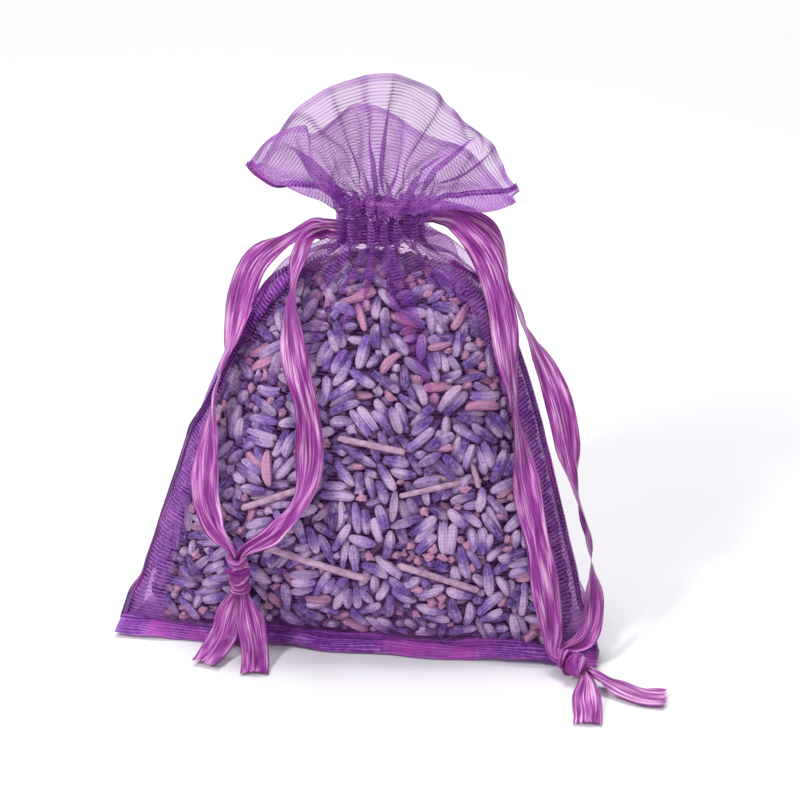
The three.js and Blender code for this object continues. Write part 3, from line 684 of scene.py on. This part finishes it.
def drawTogether(points, goal, fill):
    rows, columns = points.shape[:2]
    size = draw["size"] * mm
    bm = bmesh.new()
    bmesh.ops.create_grid(bm, x_segments=columns, y_segments=rows - 1, size=0.5)
    spot = bm.verts.layers.int.new("spot")
    for vert in bm.verts:
        row, column = round((vert.co.y + 0.5) * (rows - 1)), round((vert.co.x + 0.5) * columns) % columns
        vert[spot] = row * columns + column
        vert.co = points[row, column] * size
    bmesh.ops.remove_doubles(bm, verts=bm.verts, dist=0.0001)
    spots = np.array([vert[spot] for vert in bm.verts])
    tube = addObject("tube", meshOf("tube", bm))
    tube.shape_key_add(name="open")
    drawn = tube.shape_key_add(name="drawn")
    drawn.data.foreach_set("co", (goal.reshape(-1, 3)[spots] * size).ravel())
    ribbonRows = pouch["bodyRows"] + 1, pouch["bodyRows"] + pouch["casingRows"] - 1
    row = spots // columns
    held = (row < draw["heldBase"] * pouch["bodyRows"]) | ((row >= ribbonRows[0]) & (row <= ribbonRows[1]))
    tube.vertex_groups.new(name="held").add(np.flatnonzero(held).tolist(), 1.0, "REPLACE")
    for when, value in ((1, 0), (draw["frames"] - draw["settle"], 1)):
        drawn.value = value
        drawn.keyframe_insert("value", frame=when)
    form = fillForm(fill, draw["size"])
    form.modifiers.new("solid", "COLLISION")
    form.collision.thickness_outer = draw["fillSkin"]
    form.collision.cloth_friction = draw["friction"]
    cloth = tube.modifiers.new("cloth", "CLOTH")
    settings = cloth.settings
    settings.quality = draw["quality"]
    settings.mass = draw["mass"]
    settings.tension_stiffness = settings.compression_stiffness = draw["stretch"]
    settings.shear_stiffness = draw["shear"]
    settings.bending_stiffness = draw["bend"]
    settings.tension_damping = settings.compression_damping = settings.shear_damping = draw["damping"]
    settings.bending_damping = draw["bendDamping"]
    settings.air_damping = draw["air"]
    settings.vertex_group_mass = "held"
    settings.effector_weights.gravity = 0
    cloth.collision_settings.distance_min = draw["fillGap"]
    cloth.collision_settings.use_self_collision = True
    cloth.collision_settings.self_distance_min = draw["clothGap"]
    cloth.point_cache.frame_end = draw["frames"]
    for when in range(1, draw["frames"] + 1):
        scene.frame_set(when)
    done = tube.evaluated_get(bpy.context.evaluated_depsgraph_get()).data
    flat = np.zeros(len(spots) * 3)
    done.vertices.foreach_get("co", flat)
    result = np.zeros((rows * columns, 3))
    result[spots] = flat.reshape(-1, 3) / size
    bpy.data.objects.remove(tube)
    bpy.data.objects.remove(form)
    scene.frame_set(1)
    return result.reshape(rows, columns, 3)


def treeOf(fill):
    fill.data.calc_loop_triangles()
    points = [tuple(vert.co / mm) for vert in fill.data.vertices]
    return BVHTree.FromPolygons(points, [tuple(t.vertices) for t in fill.data.loop_triangles])


lay = {"smoothing": 14, "gathered": (0.6, 0.85), "above": 0.4, "poked": 3, "slack": 0.9, "loose": 9,
       "pull": 0.7, "seamRows": 3, "hemRows": 6}


def overBuds(points):  # the belly lies smooth over the buds, the gathers stay
    rows = pouch["bodyRows"]
    share = 1 - smoothStep(np.arange(rows) / rows, *lay["gathered"])
    share[:lay["hemRows"]] = 0
    seam = np.ones((1, points.shape[1], 1))
    seam[0, [0, pouch["frontColumns"]]] = 0
    for _ in range(lay["smoothing"]):
        body = points[:rows]
        beside = np.roll(body, 1, 1) + np.roll(body, -1, 1)
        level = (beside + points[1:rows + 1] + np.roll(points, 1, 0)[:rows]) / 4
        points[:rows] = body + (level - body) * share[:, None, None] * seam * 0.6
    for row in range(lay["seamRows"], rows):
        for at in points[row]:
            near, normal, _, distance = bedTree.find_nearest(Vector(at))
            height = float((Vector(at) - near).dot(normal))
            if height < lay["above"] and distance < lay["poked"]:
                at += np.array(normal) * (lay["above"] - height)
            elif lay["slack"] < height < lay["loose"]:
                at -= np.array(normal) * (height - lay["slack"]) * lay["pull"] * share[row]
    return points


ruffle = {"lowest": 65.2, "softness": 1.2, "from": (7.5, 10.5)}


def liftRuffle(header):  # its drooping corners stay clear of a ribbon that is pulled out
    away = np.hypot(header[:, :, 0], header[:, :, 1] - neck["y"])
    over = (header[:, :, 2] - ruffle["lowest"]) / ruffle["softness"]
    raised = ruffle["softness"] * (np.log1p(np.exp(over)) - over)
    header[:, :, 2] += raised * smoothStep(away, *ruffle["from"])


gathers = {"below": 11, "above": 0.2, "atSeam": 0.7, "seamReach": (3, 8)}


def clothGrid(points, widths, heights, looksIn=True):  # columns in the order of the tube's look in
    rows, columns = points.shape[0] - 1, points.shape[1] - 1
    bm = bmesh.new()
    bmesh.ops.create_grid(bm, x_segments=columns, y_segments=rows, size=0.5)
    folded = bm.verts.layers.float.new("folded")
    places = {}
    for vert in bm.verts:
        row, column = round((vert.co.y + 0.5) * rows), round((vert.co.x + 0.5) * columns)
        places[vert] = (column / columns * widths[row], heights[row])
        seamGap = min(column, columns - column) / columns * widths[row]
        gathered = smoothStep(heights[row], casingHeight - gathers["below"], casingHeight + gathers["above"])
        nearSeam = gathers["atSeam"] - gathers["atSeam"] * float(smoothStep(seamGap, *gathers["seamReach"]))
        vert[folded] = max(float(gathered), nearSeam)
        vert.co = points[row, column] * mm
    if looksIn:
        turnOver(bm)
    mapUv(bm, "cloth", lambda loop: places[loop.vert])
    return bm


def sewSheet(name, points, widths, heights, node):
    piece = newPiece(name, clothGrid(points, widths, heights), organza, "pouch", (node,))
    smooth = piece.modifiers.new("smooth", "SUBSURF")
    smooth.levels = smooth.render_levels = 1
    return piece


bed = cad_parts["lavender_fill"]
openPoints = openTube()
neckGoal = drawnNeck(openPoints)
clothPoints = drawTogether(openPoints, neckGoal, bed)
bedTree = treeOf(bed)
clothPoints[:, :, 2] = np.maximum(clothPoints[:, :, 2], pouch["floorGap"])
clothPoints = overBuds(clothPoints)
liftRuffle(clothPoints[pouch["bodyRows"] + pouch["casingRows"] + 1:])
lengths = np.linalg.norm(np.diff(openPoints, axis=1), axis=2)
split = pouch["frontColumns"]
heights = openPoints[:, 0, 2]
casingHeight = heights[pouch["bodyRows"]]  # the cloth is folded over from here up
frontCloth = sewSheet("frontCloth", clothPoints[:, :split + 1], lengths[:, :split].sum(1), heights,
                      "front_panel")
backPoints = np.concatenate([clothPoints[:, split:], clothPoints[:, :1]], 1)
heel = backPoints[0]
underside = []
for share in np.linspace(0.01, 1, pouch["underRows"], endpoint=False):
    depth = pouch["frontEdge"] + share * (heel[:, 1] - pouch["frontEdge"])
    underside.append(np.stack([heel[:, 0], depth, heel[:, 2]], 1))
backWidths = np.concatenate([np.full(pouch["underRows"], pouch["width"]), lengths[:, split:].sum(1)])
underHeights = np.linspace(-pouch["underDepth"], 0, pouch["underRows"], endpoint=False)
backHeights = np.concatenate([underHeights, heights])
backCloth = sewSheet("backCloth", np.concatenate([underside, backPoints]), backWidths, backHeights,
                     "back_panel")
clothMesh = bmesh.new()
clothMesh.from_mesh(frontCloth.data)
clothMesh.from_mesh(backCloth.data)
clothTree = BVHTree.FromBMesh(clothMesh)
clothMesh.free()
print("pouch drawn together")

leftKnot = tieKnot("leftKnot", (-17.7, -22.9, 13.8), (0.05, -0.12, -0.99), "left_drawstring", "left_knot")
rightKnot = tieKnot("rightKnot", (35.5, -24.5, 2.8), (0.7, -0.71, 0), "right_drawstring", "right_knot")
hangRibbon("leftFrontRibbon", leftFront, 0.4, "left_drawstring",
           ("left_front_strand", "left_front_tail"))
hangRibbon("leftBackRibbon", leftBack, 1.9, "left_drawstring",
           ("left_back_strand", "left_back_tail"))
hangRibbon("rightFrontRibbon", rightFront, 3.3, "right_drawstring",
           ("right_front_strand", "right_front_tail"))
hangRibbon("rightBackRibbon", rightBack, 4.6, "right_drawstring",
           ("right_back_strand", "right_back_tail"))

innerRibbon = {"radius": 3.0, "ripple": 0.2, "width": 2.6, "mouthGap": 0.3, "stops": 26}


def casingRibbon(name, mouthTurn, level, node):
    stops = []
    gap, width = innerRibbon["mouthGap"], innerRibbon["width"]
    for turn in np.linspace(mouthTurn + gap, mouthTurn + 2 * math.pi - gap, innerRibbon["stops"]):
        out = (math.cos(turn), math.sin(turn), 0)
        radius = innerRibbon["radius"] + innerRibbon["ripple"] * math.sin(turn * 9)
        stops.append((out[0] * radius, neck["y"] + out[1] * radius, neck["base"] + level, *out, width))
    bm, _, _ = ribbonStrip(stops, 0.9, False)
    newPiece(name, bm, satinRibbon, "pouch", (node,))


casingRibbon("leftCasingRibbon", math.pi, 1.6, "left_casing_ribbon")
casingRibbon("rightCasingRibbon", 0, 4.8, "right_casing_ribbon")
print("drawstrings hung")


# bed of buds: capsules pushed apart inside the fill
heap = {"layers": [(1.0, 1500), (2.7, 1150), (4.4, 600)], "halfLength": (1.25, 2.15), "radius": (0.76, 1.02),
        "bits": 0.25, "bitHalf": (0.1, 0.55), "bitRadius": (0.5, 0.85), "bitBelow": 0.7, "stalks": 0.012,
        "stalkHalf": (3.5, 5.5), "stalkThick": (0.42, 0.6), "stalkRadius": 0.62, "pinkBits": 0.55,
        # shadeDepthScale: depth over which the painted shade between buds deepens
        "pinkBuds": 0.08, "shadeDepthScale": 4.5, "rounds": 45, "search": 2.4, "touch": 0.96, "push": 0.32,
        "skin": 0.05, "sink": 0.8, "rise": 0.12, "calyxBelow": 0.3, "closedBelow": 0.65,
        "longStalks": [((7.1, -19.1, 15), (19, -17.8, 11)), ((-18.2, -15.5, 21.6), (-8.2, -15.8, 26)),
                       ((-3.1, -12.9, 33.4), (6.7, -13.3, 32)), ((-13.8, 18.7, 14.8), (-4.7, 21.7, 20.2)),
                       ((-14.2, -18.7, 16.5), (1.8, -19.5, 12.5))]}


def packBuds(fill):
    mesh = fill.data
    points = np.array([v.co for v in mesh.vertices]) / mm
    corners = np.array([t.vertices for t in mesh.loop_triangles])
    a, b, c = points[corners[:, 0]], points[corners[:, 1]], points[corners[:, 2]]
    normals = np.cross(b - a, c - a)
    area = np.linalg.norm(normals, axis=1)
    normals = unit(normals)
    weight = area * np.where(normals[:, 2] < -0.8, 0.25, 1)
    ends, sizes, depths = [], [], []
    for depth, count in heap["layers"]:
        picks = rng.choice(len(area), count, p=weight / weight.sum())
        r1, r2 = np.sqrt(rng.random(count)), rng.random(count)
        spots = a[picks] * (1 - r1)[:, None] + b[picks] * (r1 * (1 - r2))[:, None]
        spots = spots + c[picks] * (r1 * r2)[:, None] - normals[picks] * depth
        heading = rng.normal(size=(count, 3))
        heading -= normals[picks] * np.sum(heading * normals[picks], axis=1)[:, None]
        heading = unit(unit(heading) + 0.28 * rng.normal(size=(count, 3)))
        half = rng.uniform(*heap["halfLength"], count)
        thick = rng.uniform(*heap["radius"], count)
        bit = rng.random(count) < heap["bits"]
        half[bit] = rng.uniform(*heap["bitHalf"], bit.sum())
        thick[bit] = rng.uniform(*heap["bitRadius"], bit.sum())
        stem = rng.random(count) < (heap["stalks"] if depth < 2 else 0)
        half[stem] = rng.uniform(*heap["stalkHalf"], stem.sum())
        thick[stem] = rng.uniform(*heap["stalkThick"], stem.sum())
        ends.append(np.stack([spots - heading * half[:, None], spots + heading * half[:, None]], 1))
        sizes.append(np.stack([half, thick, stem], 1))
        depths.append(np.full(count, depth))
    laid = np.array(heap["longStalks"], float)
    ends.append(laid)
    reach = np.linalg.norm(laid[:, 1] - laid[:, 0], axis=1) / 2
    sizes.append(np.stack([reach, np.full(len(laid), heap["stalkRadius"]), np.ones(len(laid))], 1))
    depths.append(np.ones(len(laid)))
    ends, sizes, depths = np.concatenate(ends), np.concatenate(sizes), np.concatenate(depths)
    half, thick = sizes[:, 0], sizes[:, 1]
    for step in range(heap["rounds"]):
        if step % 6 == 0:
            middle = ends.mean(1)
            gap = np.linalg.norm(middle[:, None] - middle[None], axis=2)
            once = np.tri(len(gap), k=-1).astype(bool)
            pairs = np.argwhere((gap < (half[:, None] + half[None] + heap["search"])) & once)
        i, j = pairs[:, 0], pairs[:, 1]
        p, q = ends[i, 0], ends[j, 0]
        u, v = ends[i, 1] - p, ends[j, 1] - q
        w = p - q
        uu, uv, vv = (u * u).sum(1), (u * v).sum(1), (v * v).sum(1)
        uw, vw = (u * w).sum(1), (v * w).sum(1)
        s = np.clip((uv * vw - vv * uw) / np.maximum(uu * vv - uv * uv, 1e-6), 0, 1)
        t = np.clip((uv * s + vw) / vv, 0, 1)
        s = np.clip((uv * t - uw) / uu, 0, 1)
        apart = (p + u * s[:, None]) - (q + v * t[:, None])
        distance = np.linalg.norm(apart, axis=1)
        overlap = (thick[i] + thick[j]) * heap["touch"] - distance
        hit = overlap > 0
        shove = (overlap[hit] * heap["push"])[:, None]
        push = apart[hit] / np.maximum(distance[hit], 1e-4)[:, None] * shove
        for index, at, sign in ((i[hit], s[hit], 1), (j[hit], t[hit], -1)):
            np.add.at(ends[:, 0], index, sign * push * (1 - at)[:, None])
            np.add.at(ends[:, 1], index, sign * push * at[:, None])
        for k in range(2):  # stay under the cloth, near the layer's depth
            for n in range(len(ends)):
                near, normal, _, _ = bedTree.find_nearest(Vector(ends[n, k]))
                depth = float((near - Vector(ends[n, k])).dot(normal))
                short = thick[n] + heap["skin"] - depth
                if short > 0:
                    ends[n, k] -= np.array(normal) * short
                elif depth > depths[n] + heap["sink"]:
                    ends[n, k] += np.array(normal) * heap["rise"]
        middle = ends.mean(1)
        heading = unit(ends[:, 1] - ends[:, 0])
        ends[:, 0], ends[:, 1] = middle - heading * half[:, None], middle + heading * half[:, None]
        ends[-len(laid):] = laid
    return ends, sizes


budProfile = {  # thickness from the stalk end to the tip
    "calyx": (0, 0.46, 0.76, 0.95, 1.0, 0.97, 0.88, 0.76, 0.62, 0),
    "closed": (0, 0.44, 0.74, 0.95, 1.0, 0.96, 0.74, 0.70, 0.46, 0),
    "spindle": (0, 0.36, 0.66, 0.90, 1.0, 0.97, 0.84, 0.62, 0.36, 0),
    "stalk": (0, 0.90, 1.0, 0.95, 1.0, 0.93, 1.0, 0.95, 0.92, 0)}


def budShape(kind):
    bm = bmesh.new()
    bmesh.ops.create_uvsphere(bm, u_segments=7, v_segments=9, radius=1)
    levels = -np.cos(np.pi * np.arange(10) / 9)
    for vert in bm.verts:
        x, y, z = vert.co
        angle = math.atan2(y, x)
        reach = float(np.interp(z, levels, budProfile.get(kind, levels)))
        reach *= 1 + 0.07 * math.cos(3 * angle + 2 * z)
        if kind == "calyx" and z > 0.9:  # toothed open mouth
            z = 0.5 if z > 0.99 else z + 0.12 * math.cos(4 * angle)
        if kind == "crumb":  # a broken floret
            vert.co *= 0.85 + 0.6 * noise.noise(vert.co * 1.9)
        else:
            vert.co = (reach * math.cos(angle), reach * math.sin(angle) * 0.9, z)
    shape = meshOf("shape", bm)
    return shape, np.array([v.co for v in shape.vertices])


def pourBuds(name, kind, chosen, material, replaces=()):
    shape, outline = budShape(kind)
    around = np.arctan2(outline[:, 1], outline[:, 0]) / np.pi * 0.5 + 0.5
    along = outline[:, 2] * 0.5 + 0.5
    bm = bmesh.new()
    tinted = bm.verts.layers.float_color.new("bud")
    pinkness = bm.verts.layers.float.new("pink")
    under = bm.verts.layers.float.new("under")
    places, looks = [], []
    for pair, size, tint in zip(budEnds[chosen], budSizes[chosen], tints[chosen]):
        bm.from_mesh(shape)
        half, thick = size[:2]
        axis = unit(pair[1] - pair[0])
        first = unit(np.cross(axis, (0.31, 0.72, 0.62)))
        second = np.cross(axis, first)
        roll = rng.uniform(0, 2 * np.pi)
        c, s = math.cos(roll), math.sin(roll)
        first, second = first * c + second * s, second * c - first * s
        bend = rng.normal(0, 0.14) * (outline[:, 2] ** 2 - 0.4)
        local = np.outer(outline[:, 0] * thick + bend * thick * 2, first)
        local = local + np.outer(outline[:, 1] * thick, second)
        local = local + np.outer(outline[:, 2] * (half + thick * 0.85), axis)
        places.append(pair.mean(0) + local)
        chance = rng.random()
        pink = float(rng.random() < (heap["pinkBits"] if half < heap["bitBelow"] else heap["pinkBuds"]))
        looks += [(tint, chance, a, b, pink) for a, b in zip(along, around)]
    bpy.data.meshes.remove(shape)
    for vert, place, look in zip(bm.verts, np.concatenate(places), looks):
        vert.co = place * mm
        vert[tinted] = look[:4]
        vert[pinkness] = look[4]
        vert[under] = min(1, bedTree.find_nearest(Vector(place))[3] / heap["shadeDepthScale"])
    newPiece(name, bm, material, "pouch", replaces)


budEnds, budSizes = packBuds(bed)
kinds = rng.random(len(budEnds))
tints = np.clip(rng.beta(1.7, 1.5, len(budEnds)), 0, 1)
isStem = budSizes[:, 2] > 0.5
isBit = (budSizes[:, 0] < heap["bitBelow"]) & ~isStem
whole = ~isStem & ~isBit
isOpen, isSlim = kinds < heap["calyxBelow"], kinds >= heap["closedBelow"]
pourBuds("calyxBuds", "calyx", isOpen & whole, driedBuds, ("lavender_fill",))
pourBuds("closedBuds", "closed", ~isOpen & ~isSlim & whole, driedBuds)
pourBuds("slimBuds", "spindle", isSlim & whole, driedBuds)
pourBuds("crumbs", "crumb", isBit, driedBuds)
pourBuds("stalkPieces", "stalk", isStem, driedStem, ("stem_1", "stem_2", "stem_3", "stem_4"))
print("buds poured:", len(budEnds))


def darkCore(fill):  # near-black sheet of painted shade under the buds; also hides the far side through the gaps between buds
    form = fillForm(fill, 1)
    bm = bmesh.new()
    bm.from_mesh(form.data)
    bpy.data.objects.remove(form)
    bm.normal_update()
    for vert in bm.verts:
        vert.co -= vert.normal * bedForm["coreDepth"]
    newPiece("bedShadeCore", bm, bedShade, "pouch")


darkCore(bed)


# seams, hems and stitches
def rollSeam(name, points, width, node, facing, lengthwise=False):
    stops = [(*p, *facing, width) for p in points]
    bm, _, _ = ribbonStrip(stops, 2.2, False)

    def turned(loop):
        u, v = loop[bm.loops.layers.uv["strip"]].uv
        return (v, u * width) if lengthwise else (u * width, v)

    mapUv(bm, "cloth", turned)
    newPiece(name, bm, organzaSewn, "pouch", (node,))


hems = {"allowance": 8, "tuckedIn": 0.35, "rolled": 0.9, "topEdge": 160.0, "topDepth": 1.2, "bottom": 4.4}
top = pouch["bodyRows"] + pouch["casingRows"]


def wholeRow(row):  # closed ring of the tube
    return np.concatenate([clothPoints[row], clothPoints[row][:1]])


def inward(points, depth):  # grid moved in from the outside of the cloth
    across, up = np.gradient(points, axis=1), np.gradient(points, axis=0)
    normal = unit(np.cross(across, up) + 1e-9)
    middle = np.array([0, 3.0, 0]) + points * (0, 0, 1)
    normal *= np.sign(np.sum(normal * (points - middle), axis=2))[:, :, None]
    return points - normal * depth


belowNeck = slice(0, pouch["bodyRows"] - 3)
for label, column, direction in (("left", split, -1), ("right", 0, 1)):
    steps = np.arange(hems["allowance"] + 1)
    bm = bmesh.new()
    for side in (1, -1):
        strip = clothPoints[belowNeck][:, (column - direction * side * steps) % clothPoints.shape[1]]
        widths = np.full(len(strip), float(hems["allowance"]))
        part = clothGrid(inward(strip, hems["tuckedIn"]), widths, heights[belowNeck], direction * side < 0)
        carried = meshOf("part", part)
        bm.from_mesh(carried)
        bpy.data.meshes.remove(carried)
    newPiece(label + "Allowance", bm, organzaDoubled, "pouch")
    outward = np.array([direction * 0.2, 0, 0])
    line = clothPoints[1:pouch["bodyRows"] - 1:2, column] + outward
    rollSeam(label + "SideSeam", line, hems["rolled"], label + "_side_seam", (0.15 * direction, -1, 0.35))
    rollSeam(label + "HeaderSeam", clothPoints[top::2, column] + outward, hems["rolled"],
             label + "_header_seam", (0.15 * direction, -1, 0))
rim, lower = wholeRow(-1), wholeRow(-2)
hemRows = np.stack([rim + (lower - rim) * share for share in (0, 0.5, 1)])
hemHeights = np.array([0, 0.5, 1]) * hems["topDepth"]
newPiece("topHem", clothGrid(hemRows, np.full(3, hems["topEdge"]), hemHeights, False), organzaDoubled,
         "pouch")

half = pouch["width"] / 2 + 0.4
front = [(x, pouch["frontEdge"] - 1.4 - 0.7 * math.cos(x / half * 1.5) + 0.2 * math.sin(x * 0.4),
          0.9 + 0.2 * math.sin(x * 0.31)) for x in np.linspace(-half, half, 26)]
rollSeam("bottomSeam", front, hems["bottom"], "bottom_seam", (0, -0.25, 1), True)

tunnel = {"radius": 2.6, "ripple": 0.25, "ripples": 14, "around": 70, "up": 6}


def innerHem(name, side, node):
    bm = bmesh.new()
    bmesh.ops.create_grid(bm, x_segments=tunnel["around"], y_segments=tunnel["up"], size=0.5)
    for vert in bm.verts:
        turn = math.pi * (vert.co.x + 0.5)
        rise = vert.co.y + 0.5
        radius = tunnel["radius"] + tunnel["ripple"] * math.cos(turn * tunnel["ripples"])
        vert.co = Vector((radius * math.cos(turn), neck["y"] + side * radius * math.sin(turn),
                          neck["base"] + neck["casing"] * rise)) * mm
    if side < 0:
        turnOver(bm)
    columns = tunnel["around"] + 1
    mapUv(bm, "cloth", lambda loop: (loop.vert.index % columns, loop.vert.co.z / mm))
    newPiece(name, bm, organzaDoubled, "pouch", (node,))


innerHem("frontHem", -1, "front_casing")
innerHem("backHem", 1, "back_casing")

stitch = {"length": 1.3, "pitch": 2.1, "thick": 0.26, "start": 0.3, "above": 0.18}


def sewCasing(name, row):  # running stitch round the casing
    line = wholeRow(row)
    run = runAlong(line)
    bm = bmesh.new()
    for start in np.arange(stitch["start"], run[-1] - stitch["length"], stitch["pitch"]):
        a, b = (np.array([np.interp(at, run, line[:, k]) for k in range(3)])
                for at in (start, start + stitch["length"]))
        out = unit((a + b) / 2 - (0, neck["y"], line[0, 2])) * (1, 1, 0)
        middle = Vector((a + b) / 2 + out * stitch["above"]) * mm
        turn = Vector(b - a).to_track_quat("X", "Z").to_matrix().to_4x4()
        loop = bmesh.ops.create_uvsphere(bm, u_segments=6, v_segments=4, radius=0.5 * mm)["verts"]
        size = (np.linalg.norm(b - a) + stitch["thick"], stitch["thick"], stitch["thick"])
        bmesh.ops.scale(bm, verts=loop, vec=size)
        bmesh.ops.transform(bm, verts=loop, matrix=turn)
        bmesh.ops.translate(bm, verts=loop, vec=middle)
    newPiece(name, bm, stitchThread, "pouch")


sewCasing("lowerStitches", pouch["bodyRows"])
sewCasing("upperStitches", top)
print("seams closed")
